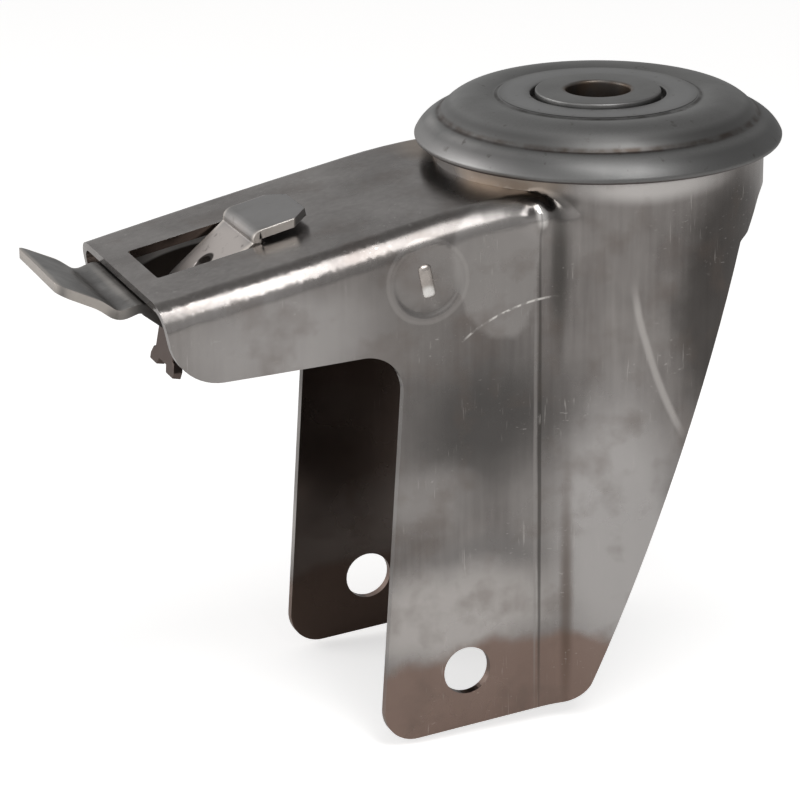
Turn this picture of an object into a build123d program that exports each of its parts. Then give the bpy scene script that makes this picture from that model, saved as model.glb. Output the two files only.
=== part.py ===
from build123d import *
import math
import os

# Fork head of a braked swivel castor with a bolt hole, all lengths in millimetres.
# The origin lies on the swivel axis at the top of the bolt hole, and +Z points up.
# The arm with the foot brake points along -X, and the axle runs along Y.

# Pressed sheet of the fork
SHEET = 1.5
DRUM_R = 28.1
CROWN_BEND = 3.0
LEG_WIDTH = 46.5
ARM_NARROWING = 2.4
ARM_BEND = 4.5
ARM_REACH = 85.5
ARM_SLOPE = 10.8
ARM_ROOT_Z = -11.2
ARM_ROOT_CURVE = 110.0
ARM_TAPER_START = 46.0
VALLEY_R = 19.0
BLISTER_R = 3.4
BLISTER_RISE = 1.0
BLISTER_DROP = 3.2

# Outline of the fork's sides
ARM_UNDERSIDE_Z = -33.35
ARM_UNDERSIDE_FALL = 1.45
ARM_TIP_CORNER_R = 8.5
LEG_ROOT_CORNER_R = 6.6
LEG_ROOT_X = -44.9
AXLE_DROP = 91.6
AXLE_OFFSET = 34.4
AXLE_HOLE_R = 4.2
LEG_BEFORE_AXLE = 15.4
LEG_BELOW_AXLE = 11.3
LEG_FOOT_RISE = 2.6
LEG_FRONT_CORNER_R = 5.5
LEG_REAR_CORNER_R = 5.5
LEG_BEHIND_AXLE = 24.3
LEG_REAR_LEAN = 20.1
SKIRT_Z = -15.6
SKIRT_LIP_DROP = 5.7
SKIRT_LIP_X = 17.3
SKIRT_RADIUS = 4.0

# Window in the top of the arm, and the slots in its sides
WINDOW_MARGIN = 4.0
WINDOW_LENGTH = 18.6
WINDOW_FRONT = ARM_REACH - WINDOW_MARGIN
WINDOW_REAR = WINDOW_FRONT - WINDOW_LENGTH
WINDOW_WIDTH = 15.8
WINDOW_CORNER_R = 0.5
SLOT_X = -41.0
SLOT_Z = -22.2
SLOT_CLEAR = 0.1
DIMPLE_R = 6.3
DIMPLE_DEPTH = 0.5
DIMPLE_SLOPE = 1.2

# Hollow rivet that carries the head
KING_FLANGE_R = 10.65
KING_FLANGE_T = 2.2
KING_R = 7.5
BOLT_HOLE_R = 5.5
BOLT_HOLE_LIP = 0.5
KING_FOOT_R = 9.8
KING_FOOT_T = 1.8
HEAD_FIT = 0.05

# Top race cap
CAP_R = 31.1
CAP_SHEET = 1.5
CAP_FLANGE_GAP = 0.85
CAP_LAND_Z = -0.6
CAP_LAND_R = 16.9
CAP_GROOVE_R = 17.7
CAP_GROOVE_Z = -0.95
CAP_CREST_R = 21.3
CAP_CREST_Z = -0.5
CAP_VALLEY_R = 27.0
CAP_VALLEY_Z = -3.8
CAP_BROW_R = 29.6
CAP_BROW_Z = -5.2
CAP_EDGE_Z = -7.2
CAP_EDGE_DROP = 1.0

# Ball races
BALL_R = 2.38
RACE_CLEAR = 0.05
RACE_DEPTH = 0.6
UPPER_BALLS = 22
LOWER_PITCH_R = 14.2
LOWER_BALLS = 14
NECK_T = 1.4
NECK_GAP = 0.6
LOWER_RACE_R = 18.5
LOWER_RACE_T = 2.0

# Toothed ring that locks the swivel
LOCK_TEETH = 24
LOCK_ROOT_R = 19.0
LOCK_TIP_R = 23.0
LOCK_RING_T = 2.5
LOCK_TOOTH_SHARE = 0.45

# Flat pivot bar staked through the sides of the arm
BAR_T = 1.5
BAR_H = 5.2

# Brake leaf that hooks over the rear edge of the window
LEAF_T = 1.5
LEAF_CLEAR = 0.7
LEAF_HOOK_GAP = 0.6
LEAF_NECK_WIDTH = 14.8
LEAF_KNEE_WIDTH = 11.2
LEAF_ANKLE_WIDTH = 8.6
LEAF_FOOT_WIDTH = 12.0
LEAF_FOOT_RISE = 2.3
LEAF_TAB_LENGTH = 10.4
LEAF_TAB_TILT = 1.5
LEAF_TAB_CHAMFER = 3.0
LEAF_FOLD_R = 0.35
LEAF_RISE = 0.4
LEAF_SLOPE = 35.9
LEAF_SLOPE_LENGTH = 13.2
LEAF_SHIN_SLOPE = 76.7
LEAF_SHIN_LENGTH = 14.3
LEAF_BEND_R = 2.0
LEAF_TOOTH_SIDE = 0.85
LEAF_TOOTH_TAPER = 0.4
LEAF_GAP_TIP = 6.4
LEAF_GAP_ROOT = 3.4
LEAF_GAP_HEIGHT = 1.15
LEAF_HOLE_R = 1.75
LEAF_HOLE_DOWN = 7.9

# Pedal lever: curved tread, ridge, front web with a push tongue, two rails and a pronged rear web
LEVER_T = 1.5
LEVER_CLEAR = 0.5
LEVER_WIDTH = 24.8
LEVER_EYE_CLEAR = 0.15
LEVER_EYE_WALL = 2.2
RAIL_FRONT_X = -ARM_REACH - 0.1
RAIL_CHIN_X = -ARM_REACH + 3.0
RAIL_CHIN_DROP = 4.6
RAIL_BELLY_X = -WINDOW_REAR - 3.1
RAIL_BELLY_Z = -28.5
TREAD_LENGTH = 7.9
TREAD_SLOPE = 26.0
TREAD_DIP_LENGTH = 3.5
TREAD_DIP_SLOPE = 38.0
TREAD_BEND_R = 8.0
TREAD_TIP_WIDTH = 23.4
TREAD_CORNER_R = 2.4
RIDGE_X = -ARM_REACH - 0.9
RIDGE_RISE = 0.5
RIDGE_WIDTH = 1.7
RIDGE_BEND_R = 0.6
TREAD_VALLEY_X = 3.0
TREAD_VALLEY_DROP = 0.9
TREAD_VALLEY_R = 2.0
TONGUE_X = -WINDOW_FRONT - 0.7
TONGUE_SLOPE = 55.0
TONGUE_WIDTH = 9.0
TONGUE_GAP = 0.3
TONGUE_BEND_R = 1.0
PRONG_WIDTH = 1.7
PRONG_GAP = 2.4
PRONG_HEIGHT = 3.2
PRONG_R = 20.9
REAR_WEB_LENGTH = 12.8

DEEP = 130.0
FAR = 60.0

# Heights that follow from the race sizes
CAP_SEAT_Z = -KING_FLANGE_T
NECK_TOP_Z = CAP_SEAT_Z - CAP_SHEET
UPPER_BALL_Z = CAP_CREST_Z - CAP_SHEET - RACE_CLEAR - BALL_R
CROWN_Z = UPPER_BALL_Z - BALL_R - RACE_CLEAR + RACE_DEPTH
CROWN_UNDER_Z = CROWN_Z - SHEET
LOWER_BALL_Z = CROWN_UNDER_Z + RACE_DEPTH - RACE_CLEAR - BALL_R
LOWER_RACE_Z = LOWER_BALL_Z - BALL_R - RACE_CLEAR + RACE_DEPTH
LOCK_TOP_Z = LOWER_RACE_Z - LOWER_RACE_T
LOCK_BOTTOM_Z = LOCK_TOP_Z - LOCK_RING_T
NECK_R = KING_R + HEAD_FIT + NECK_T
CROWN_HOLE_R = NECK_R + NECK_GAP

SLOPE = math.tan(math.radians(ARM_SLOPE))
ALONG_ARM = (math.cos(math.radians(ARM_SLOPE)), math.sin(math.radians(ARM_SLOPE)))


def arm_top(x, inset=0.0):
    """Height of the arm's top sheet at x, on its straight stretch, inset below the outer face."""
    straight_end = -DRUM_R - ARM_ROOT_CURVE * math.sin(math.radians(ARM_SLOPE)) / 2
    end_z = ARM_ROOT_Z - ARM_ROOT_CURVE * math.sin(math.radians(ARM_SLOPE)) ** 2 / 3
    return end_z + (x - straight_end) * SLOPE - inset / ALONG_ARM[0]


def on_arm(x, depth):
    """Point (x, z) that lies depth below the arm's outer top face, square to it, under x."""
    return (x + depth * ALONG_ARM[1], arm_top(x) - depth * ALONG_ARM[0])


def side_face(points, radii):
    """Face in the XZ plane with the given corners, each rounded by its own radius."""
    line = FilletPolyline(*points, radius=radii, close=True)
    return make_face(Plane.XZ * line)


def across(face, width):
    """Solid of a face in the XZ plane, made width wide and centred on the XZ plane."""
    return extrude(face, width / 2, both=True)


def bent_strip(points, bend_radii, thickness):
    """Side face of a bent sheet: points follow one face, the sheet lies to their right."""
    count = len(points)
    headings = []
    for start, end in zip(points, points[1:]):
        headings.append(math.atan2(end[1] - start[1], end[0] - start[0]))
    other = []
    for i in range(count):
        before = headings[max(i - 1, 0)]
        after = headings[min(i, count - 2)]
        middle = (before + after) / 2
        reach = thickness / math.cos((after - before) / 2)
        other.append((points[i][0] + reach * math.sin(middle), points[i][1] - reach * math.cos(middle)))
    near_radii = []
    far_radii = []
    for i, radius in enumerate(bend_radii):
        turns_left = headings[i + 1] > headings[i]
        near_radii.append(radius if turns_left else radius + thickness)
        far_radii.append(radius + thickness if turns_left else radius)
    near = FilletPolyline(*points, radius=near_radii)
    far = FilletPolyline(*other, radius=far_radii)
    ends = [Line(points[0], other[0]), Line(points[-1], other[-1])]
    return make_face(Plane.XZ * (Curve() + [near, far] + ends))


def turned(points):
    """Solid turned about the Z axis from a closed outline of (radius, z) points."""
    return revolve(make_face(Plane.XZ * Polyline(*points, close=True)), Axis.Z)


def ring_groove(pitch_r, ball_z):
    """Torus of a ball race, one clearance wider than its balls."""
    return Pos(0, 0, ball_z) * Torus(pitch_r, BALL_R + RACE_CLEAR)


def ball_ring(count, pitch_r, ball_z):
    """Ring of separate balls."""
    balls = []
    for i in range(count):
        angle = 2 * math.pi * i / count
        balls.append(Pos(pitch_r * math.cos(angle), pitch_r * math.sin(angle), ball_z) * Sphere(BALL_R))
    return Compound(children=balls)


def king_tube():
    """Hollow rivet: flange on top, bolt hole through it, foot spread over under the lock ring."""
    foot_z = LOCK_BOTTOM_Z - KING_FOOT_T
    body = turned([
        (BOLT_HOLE_R, 0),
        (KING_FLANGE_R, 0),
        (KING_FLANGE_R, CAP_SEAT_Z),
        (KING_R, CAP_SEAT_Z),
        (KING_R, LOCK_BOTTOM_Z),
        (KING_FOOT_R, LOCK_BOTTOM_Z),
        (KING_FOOT_R, foot_z + KING_FOOT_T / 3),
        (KING_FOOT_R - KING_FOOT_T / 3, foot_z),
        (BOLT_HOLE_R, foot_z),
    ])
    rims = body.edges().filter_by(GeomType.CIRCLE)
    lip = [e for e in rims if abs(e.center().Z) < 0.01 and e.radius < BOLT_HOLE_R + 0.01]
    body = fillet(lip, BOLT_HOLE_LIP)
    rim = [e for e in body.edges().filter_by(GeomType.CIRCLE) if e.radius > KING_FLANGE_R - 0.01]
    return chamfer(rim, BOLT_HOLE_LIP / 2)


def cap_line(inset):
    """Points and arcs of the cap's upper face from its seat to its rim, moved down by inset."""
    wall_r = KING_FLANGE_R + CAP_FLANGE_GAP + inset
    land = (CAP_LAND_R, CAP_LAND_Z - inset)
    groove = (CAP_GROOVE_R - inset / 4, CAP_GROOVE_Z - inset)
    crest = (CAP_CREST_R, CAP_CREST_Z - inset)
    valley = (CAP_VALLEY_R - inset * 0.75, CAP_VALLEY_Z - inset * 0.8)
    brow = (CAP_BROW_R - inset * 0.6, CAP_BROW_Z - inset * 0.8)
    edge = (CAP_R - inset, CAP_EDGE_Z - inset * 0.3)
    lines = [
        Line((wall_r, CAP_SEAT_Z - inset), (wall_r, CAP_LAND_Z - inset)),
        Line((wall_r, CAP_LAND_Z - inset), land),
        Line(land, groove),
        ThreePointArc(groove, crest, valley),
        ThreePointArc(valley, brow, edge),
    ]
    return lines, (wall_r, CAP_SEAT_Z - inset), edge


def top_race_cap():
    """Pressed cap: recess for the rivet's flange, raised race ring and turned-down rim."""
    upper, upper_seat, upper_edge = cap_line(0.0)
    lower, lower_seat, lower_edge = cap_line(CAP_SHEET)
    hole_r = KING_R + HEAD_FIT
    rim_z = CAP_EDGE_Z - CAP_EDGE_DROP
    rim_r = CAP_R - CAP_SHEET / 2
    outline = upper + lower + [
        Line((hole_r, CAP_SEAT_Z), upper_seat),
        Line((hole_r, CAP_SEAT_Z), (hole_r, NECK_TOP_Z)),
        Line((hole_r, NECK_TOP_Z), lower_seat),
        ThreePointArc(upper_edge, (CAP_R - 0.1, CAP_EDGE_Z - 0.6), (rim_r, rim_z)),
        Line((rim_r, rim_z), lower_edge),
    ]
    body = revolve(make_face(Plane.XZ * (Curve() + outline)), Axis.Z)
    return body - ring_groove(CAP_CREST_R, UPPER_BALL_Z)


def lower_race():
    """Lower race with its neck, which spaces it from the cap and passes through the crown."""
    bore = KING_R + HEAD_FIT
    body = turned([
        (bore, NECK_TOP_Z),
        (NECK_R, NECK_TOP_Z),
        (NECK_R, LOWER_RACE_Z),
        (LOWER_RACE_R, LOWER_RACE_Z),
        (LOWER_RACE_R, LOCK_TOP_Z),
        (bore, LOCK_TOP_Z),
    ])
    return body - ring_groove(LOWER_PITCH_R, LOWER_BALL_Z)


def lock_ring():
    """Ring with teeth around its rim; a gap faces the arm on each side of the centre line."""
    pitch = 360 / LOCK_TEETH
    disc = Pos(0, 0, (LOCK_TOP_Z + LOCK_BOTTOM_Z) / 2) * Cylinder(LOCK_ROOT_R, LOCK_RING_T)
    half = math.radians(pitch * LOCK_TOOTH_SHARE / 2)
    root_y = LOCK_ROOT_R * math.sin(half) * 1.1
    tip_y = LOCK_TIP_R * math.sin(half) * 0.85
    tooth = make_face(Polyline(
        (LOCK_ROOT_R - 1, root_y),
        (LOCK_TIP_R, tip_y),
        (LOCK_TIP_R, -tip_y),
        (LOCK_ROOT_R - 1, -root_y),
        close=True,
    ))
    tooth_solid = Pos(0, 0, LOCK_BOTTOM_Z) * extrude(tooth, LOCK_RING_T)
    for i in range(LOCK_TEETH):
        disc += Rot(0, 0, pitch * i) * tooth_solid
    return disc - Pos(0, 0, LOCK_TOP_Z) * Cylinder(KING_R + HEAD_FIT, 4 * LOCK_RING_T)


def arm_profile(inset):
    """Face in the XZ plane under the arm's top line, moved inwards by inset."""
    tip_x = -ARM_REACH - FAR / 2
    start = -DRUM_R - ARM_ROOT_CURVE * math.sin(math.radians(ARM_SLOPE)) / 2
    straight_end = (start + inset * ALONG_ARM[1], arm_top(start) - inset * ALONG_ARM[0])
    tip = (tip_x, straight_end[1] - (straight_end[0] - tip_x) * SLOPE)
    straight = Line(tip, straight_end)
    root_curve = JernArc(start=straight_end, tangent=ALONG_ARM, radius=ARM_ROOT_CURVE + inset,
                         arc_size=-ARM_SLOPE)
    root = root_curve @ 1
    rest = Polyline(root, (0, root.Y), (0, -DEEP), (tip_x, -DEEP), tip)
    return make_face(Plane.XZ * (Curve() + [straight, root_curve, rest]))


def arm_plan(inset):
    """Face in the XY plane of the arm, the legs and the drum, with the corners between them eased."""
    half = LEG_WIDTH / 2 - inset
    narrowing = ARM_NARROWING / 2
    run = ARM_REACH - ARM_TAPER_START
    bow = (run ** 2 + narrowing ** 2) / (2 * narrowing)
    far_run = run + FAR / 2
    far_y = half - (bow - math.sqrt(bow ** 2 - far_run ** 2))
    mid_y = half - (bow - math.sqrt(bow ** 2 - (far_run / 2) ** 2))
    start = -ARM_TAPER_START
    sides = []
    for side in (-1, 1):
        sides.append(Line((0, side * half), (start, side * half)))
        sides.append(ThreePointArc((start, side * half), (start - far_run / 2, side * mid_y),
                                   (start - far_run, side * far_y)))
    ends = [Line((0, -half), (0, half)), Line((start - far_run, -far_y), (start - far_run, far_y))]
    plan = make_face(Curve() + sides + ends) + Circle(DRUM_R - inset)
    corners = [v for v in plan.vertices() if start + 1 < v.X < -1]
    return fillet(corners, VALLEY_R + inset)


def arm_block(inset):
    """Solid of the arm and legs; the long top edges are rounded and run out into the drum's wall."""
    plan = Pos(0, 0, -DEEP) * extrude(arm_plan(inset), 2 * DEEP)
    block = across(arm_profile(inset), LEG_WIDTH + FAR) & plan
    half = LEG_WIDTH / 2 - inset
    top_edges = []
    for edge in block.edges():
        middle = edge.center()
        on_side = abs(middle.Y) > half - ARM_BEND - ARM_NARROWING
        on_top = middle.Z > -DEEP / 2
        lengthwise = abs((edge @ 0).X - (edge @ 1).X) > 0.2
        if on_side and on_top and lengthwise:
            top_edges.append(edge)
    return fillet(top_edges, ARM_BEND - inset)


def drum_block(inset):
    """Solid of the drum with its rounded crown."""
    height = CROWN_Z - inset + DEEP
    drum = Pos(0, 0, CROWN_Z - inset - height / 2) * Cylinder(DRUM_R - inset, height)
    crown = [e for e in drum.edges().filter_by(GeomType.CIRCLE) if e.center().Z > CROWN_Z - inset - 1]
    return fillet(crown, CROWN_BEND - inset)


def blisters(inset):
    """Small round bulges on both sides, where the arm's bend, the leg and the drum pinch the sheet."""
    half = LEG_WIDTH / 2
    crease_x = -math.sqrt((DRUM_R + VALLEY_R) ** 2 - (half + VALLEY_R) ** 2)
    bulges = Part()
    for side in (-1, 1):
        place = Pos(crease_x, side * (half + BLISTER_RISE - BLISTER_R), ARM_ROOT_Z - BLISTER_DROP)
        bulges += place * Sphere(BLISTER_R - inset)
    return bulges


def fork_form(inset):
    """Solid bounded by the fork's sheet, moved inwards by inset."""
    return arm_block(inset) + drum_block(inset) + blisters(inset)


def fork_outline():
    """Side view of the sheet that is left after blanking, as a face in the XZ plane."""
    tip_top = on_arm(-ARM_REACH, -FAR / 3)
    underside_z = ARM_UNDERSIDE_Z - ARM_UNDERSIDE_FALL
    drop = (arm_top(-ARM_REACH) - underside_z) / ALONG_ARM[0]
    tip_bottom = on_arm(-ARM_REACH, drop)
    foot_z = -AXLE_DROP - LEG_BELOW_AXLE
    lean = math.tan(math.radians(LEG_REAR_LEAN))
    rear_axle_x = -AXLE_OFFSET + LEG_BEHIND_AXLE
    heel_z = foot_z + LEG_FOOT_RISE
    heel = (rear_axle_x + (heel_z + AXLE_DROP) * lean, heel_z)
    lip_z = SKIRT_Z - SKIRT_LIP_DROP
    step = (rear_axle_x + (lip_z - 1 + AXLE_DROP) * lean, lip_z - 1)
    corners = [
        (tip_top, 0),
        (tip_bottom, ARM_TIP_CORNER_R),
        ((LEG_ROOT_X, ARM_UNDERSIDE_Z), LEG_ROOT_CORNER_R),
        ((-AXLE_OFFSET - LEG_BEFORE_AXLE, foot_z), LEG_FRONT_CORNER_R),
        (heel, LEG_REAR_CORNER_R),
        (step, 0.8),
        ((SKIRT_LIP_X, lip_z), 1.2),
        ((SKIRT_LIP_X + SKIRT_LIP_DROP * 0.75, SKIRT_Z), SKIRT_RADIUS),
        ((FAR, SKIRT_Z), 0),
        ((FAR, FAR / 2), 0),
    ]
    return side_face([c[0] for c in corners], [c[1] for c in corners])


def window_cut():
    """Solid of the window in the arm's top."""
    length = WINDOW_FRONT - WINDOW_REAR
    opening = Pos(-(WINDOW_FRONT + WINDOW_REAR) / 2, 0) * RectangleRounded(
        length, WINDOW_WIDTH, WINDOW_CORNER_R)
    return Pos(0, 0, arm_top(-WINDOW_FRONT) - 6) * extrude(opening, 14)


def bar_section(grow):
    """Section of the flat pivot bar in the XZ plane, grown by a clearance."""
    section = RectangleRounded(BAR_T + 2 * grow, BAR_H + 2 * grow, 0.2 + grow)
    return Plane.XZ * Pos(SLOT_X, SLOT_Z) * Rot(0, 0, ARM_SLOPE) * section


def dimple(side):
    """Shallow round set-down in the outer face of the arm around a slot."""
    face_y = LEG_WIDTH / 2
    cone = Cone(DIMPLE_R - DIMPLE_SLOPE, DIMPLE_R, DIMPLE_DEPTH)
    return Pos(SLOT_X, side * (face_y - DIMPLE_DEPTH / 2), SLOT_Z) * Rot(-90 * side, 0, 0) * cone


def fork_shell():
    """One pressed sheet: drum, crown, arm and both legs."""
    shell = fork_form(0.0) - fork_form(SHEET)
    shell = shell & across(fork_outline(), LEG_WIDTH + FAR)
    shell -= Pos(0, 0, CROWN_Z) * Cylinder(CROWN_HOLE_R, 4 * SHEET)
    shell -= ring_groove(CAP_CREST_R, UPPER_BALL_Z)
    shell -= ring_groove(LOWER_PITCH_R, LOWER_BALL_Z)
    axle = Pos(-AXLE_OFFSET, 0, -AXLE_DROP) * Rot(90, 0, 0) * Cylinder(AXLE_HOLE_R, LEG_WIDTH + FAR)
    shell -= axle
    shell -= window_cut()
    shell -= across(bar_section(SLOT_CLEAR), LEG_WIDTH + FAR)
    for side in (-1, 1):
        shell -= dimple(side)
    return shell


def pivot_bar():
    """Flat bar across the arm, its ends level with the dimples."""
    return across(bar_section(0), LEG_WIDTH - 2 * DIMPLE_DEPTH)


def leaf_points():
    """Corners of the leaf's front and top face in the XZ plane, from its teeth up to its tab."""
    front_x = -WINDOW_REAR - LEAF_HOOK_GAP - LEAF_T
    corner = (front_x, arm_top(front_x) + LEAF_RISE)
    slope = math.radians(LEAF_SLOPE)
    knee = (corner[0] - LEAF_SLOPE_LENGTH * math.cos(slope), corner[1] - LEAF_SLOPE_LENGTH * math.sin(slope))
    shin = math.radians(LEAF_SHIN_SLOPE)
    toe = (knee[0] - LEAF_SHIN_LENGTH * math.cos(shin), knee[1] - LEAF_SHIN_LENGTH * math.sin(shin))
    fold = (front_x, arm_top(front_x) + (LEAF_CLEAR + LEAF_T) / ALONG_ARM[0])
    tab = math.radians(ARM_SLOPE + LEAF_TAB_TILT)
    tab_end = (fold[0] + LEAF_TAB_LENGTH * math.cos(tab), fold[1] + LEAF_TAB_LENGTH * math.sin(tab))
    return [toe, knee, corner, fold, tab_end]


def leaf_front_outline():
    """Front view of the leaf: wide in the window, narrow at the ankle, with two teeth at its foot."""
    toe, knee, corner = leaf_points()[:3]
    neck = LEAF_NECK_WIDTH / 2
    foot = LEAF_FOOT_WIDTH / 2
    ankle_z = toe[1] + LEAF_FOOT_RISE
    tip_z = toe[1] - LEAF_T
    half = [
        (neck, FAR),
        (neck, corner[1]),
        (LEAF_KNEE_WIDTH / 2, knee[1]),
        (LEAF_ANKLE_WIDTH / 2, ankle_z),
        (foot - LEAF_TOOTH_SIDE, ankle_z),
        (foot, toe[1] + LEAF_TOOTH_SIDE),
        (foot - LEAF_TOOTH_TAPER, tip_z),
        (LEAF_GAP_TIP / 2, tip_z),
        (LEAF_GAP_ROOT / 2, toe[1] + LEAF_GAP_HEIGHT),
    ]
    other_half = [(-y, z) for y, z in reversed(half)]
    return Plane.YZ * make_face(Polyline(*half, *other_half, close=True))


def brake_leaf():
    """Bent brake leaf: tab behind the window, slope through it, shin and teeth at the tyre."""
    points = leaf_points()
    toe, knee, corner, fold, tab_end = points
    strip = bent_strip(points, [LEAF_BEND_R, LEAF_FOLD_R, LEAF_FOLD_R], LEAF_T)
    leaf = across(strip, LEAF_NECK_WIDTH + FAR) & extrude(leaf_front_outline(), 2 * DEEP, both=True)
    neck = LEAF_NECK_WIDTH / 2
    for side in (-1, 1):
        corner_cut = make_face(Polyline(
            (tab_end[0] - LEAF_TAB_CHAMFER, side * (neck + 0.1)),
            (tab_end[0] + LEAF_T, side * (neck + 0.1)),
            (tab_end[0] + LEAF_T, side * (neck - LEAF_TAB_CHAMFER)),
            (tab_end[0], side * (neck - LEAF_TAB_CHAMFER)),
            close=True,
        ))
        leaf -= Pos(0, 0, tab_end[1] - 2 * LEAF_T) * extrude(corner_cut, 4 * LEAF_T)
    slope = math.radians(LEAF_SLOPE)
    hole_x = corner[0] - LEAF_HOLE_DOWN * math.cos(slope)
    hole_z = corner[1] - LEAF_HOLE_DOWN * math.sin(slope)
    drill = Rot(0, -LEAF_SLOPE, 0) * Cylinder(LEAF_HOLE_R, 6 * LEAF_T)
    return leaf - Pos(hole_x, 0, hole_z) * drill


def under_arm(x):
    """Point (x, z) on the lever's top face, one clearance under the arm's inner face."""
    return (x, arm_top(x, SHEET) - LEVER_CLEAR)


def tongue_end():
    """Point where the push tongue stops, one gap in front of the leaf's shin."""
    knee = leaf_points()[1]
    start = under_arm(TONGUE_X)
    shin = math.radians(LEAF_SHIN_SLOPE)
    out = (-math.sin(shin), math.cos(shin))
    ahead = (math.cos(math.radians(-TONGUE_SLOPE)), math.sin(math.radians(-TONGUE_SLOPE)))
    away = (start[0] - knee[0]) * out[0] + (start[1] - knee[1]) * out[1]
    length = (TONGUE_GAP - away) / (ahead[0] * out[0] + ahead[1] * out[1])
    return (start[0] + length * ahead[0], start[1] + length * ahead[1])


def tread_plan():
    """Plan of the tread and front web: rounded free corners, wider towards the ridge."""
    tip_x = lever_front_points()[0][0]
    wide_x = RIDGE_X - TREAD_VALLEY_X
    half = LEVER_WIDTH / 2
    tip = TREAD_TIP_WIDTH / 2
    line = FilletPolyline(
        (tip_x, -tip),
        (wide_x, -half),
        (TONGUE_X + LEVER_T, -half),
        (TONGUE_X + LEVER_T, half),
        (wide_x, half),
        (tip_x, tip),
        radius=[TREAD_CORNER_R, 6 * TREAD_CORNER_R, 0, 0, 6 * TREAD_CORNER_R, TREAD_CORNER_R],
        close=True,
    )
    return make_face(line)


def lever_front_points():
    """Corners of the lever's top face from the free edge of the tread to its front web."""
    ridge = (RIDGE_X, under_arm(RIDGE_X)[1] + RIDGE_RISE)
    valley = (ridge[0] - TREAD_VALLEY_X, ridge[1] - TREAD_VALLEY_DROP)
    dip = math.radians(TREAD_DIP_SLOPE)
    rise = math.radians(TREAD_SLOPE)
    bend = (valley[0] - TREAD_DIP_LENGTH * math.cos(dip), valley[1] + TREAD_DIP_LENGTH * math.sin(dip))
    free = (bend[0] - TREAD_LENGTH * math.cos(rise), bend[1] + TREAD_LENGTH * math.sin(rise))
    return [free, bend, valley, ridge, under_arm(RIDGE_X + RIDGE_WIDTH), under_arm(TONGUE_X)]


def rail_profile():
    """Side view of one rail with its eye for the pivot bar."""
    eye_r = math.hypot(BAR_T, BAR_H) / 2 + LEVER_EYE_CLEAR
    boss_r = eye_r + LEVER_EYE_WALL
    web_top = LOCK_BOTTOM_Z - PRONG_GAP - PRONG_HEIGHT
    web_front = -PRONG_R - REAR_WEB_LENGTH
    chin = under_arm(RAIL_CHIN_X)
    front = under_arm(RAIL_FRONT_X)
    line = Polyline(
        front,
        under_arm(SLOT_X - 2 * boss_r),
        (SLOT_X, SLOT_Z + boss_r),
        (web_front, web_top),
        (-PRONG_R, web_top),
        (-PRONG_R, web_top - LEVER_T),
        (web_front, web_top - 2 * LEVER_T),
        (SLOT_X, SLOT_Z - boss_r),
        (RAIL_BELLY_X, RAIL_BELLY_Z),
        (chin[0], chin[1] - RAIL_CHIN_DROP),
        (front[0], front[1] - LEVER_T),
        close=True,
    )
    boss = Plane.XZ * Pos(SLOT_X, SLOT_Z) * Circle(boss_r)
    eye = Plane.XZ * Pos(SLOT_X, SLOT_Z) * Circle(eye_r)
    return make_face(Plane.XZ * line) + boss - eye


def pedal_lever():
    """One bent sheet: tread, ridge, web under the arm, push tongue, rails and rear web with prongs."""
    points = lever_front_points()
    radii = [TREAD_BEND_R, TREAD_VALLEY_R, RIDGE_BEND_R, RIDGE_BEND_R]
    tread = across(bent_strip(points, radii, LEVER_T), LEVER_WIDTH)
    lever = tread & (Pos(0, 0, -DEEP) * extrude(tread_plan(), 2 * DEEP))
    tongue = bent_strip([points[-2], points[-1], tongue_end()], [TONGUE_BEND_R], LEVER_T)
    lever += across(tongue, TONGUE_WIDTH)
    rail = across(rail_profile(), LEVER_T)
    for side in (-1, 1):
        lever += Pos(0, side * (LEVER_WIDTH - LEVER_T) / 2, 0) * rail
    web_top = LOCK_BOTTOM_Z - PRONG_GAP - PRONG_HEIGHT
    web_z = web_top - LEVER_T / 2
    lever += Pos(-PRONG_R - REAR_WEB_LENGTH / 2, 0, web_z) * Box(REAR_WEB_LENGTH, LEVER_WIDTH, LEVER_T)
    prong_y = PRONG_R * math.tan(math.pi / LOCK_TEETH)
    for side in (-1, 1):
        prong = Box(LEVER_T, PRONG_WIDTH, PRONG_HEIGHT + LEVER_T)
        prong_z = web_top - LEVER_T + (PRONG_HEIGHT + LEVER_T) / 2
        lever += Pos(-PRONG_R - LEVER_T / 2, side * prong_y, prong_z) * prong
    return lever


PARTS = {
    "king_tube": king_tube,
    "top_race_cap": top_race_cap,
    "lower_race": lower_race,
    "lock_ring": lock_ring,
    "fork_shell": fork_shell,
    "pivot_bar": pivot_bar,
    "pedal_lever": pedal_lever,
    "brake_leaf": brake_leaf,
}

os.makedirs("parts", exist_ok=True)
for name, build in PARTS.items():
    export_step(build(), "parts/" + name + ".step")
export_step(ball_ring(UPPER_BALLS, CAP_CREST_R, UPPER_BALL_Z), "parts/upper_balls.step")
export_step(ball_ring(LOWER_BALLS, LOWER_PITCH_R, LOWER_BALL_Z), "parts/lower_balls.step")
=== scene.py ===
import logging
import math
from dataclasses import dataclass
from enum import Enum

import bmesh
import bpy
import numpy as np
from mathutils import Matrix, Vector


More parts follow.
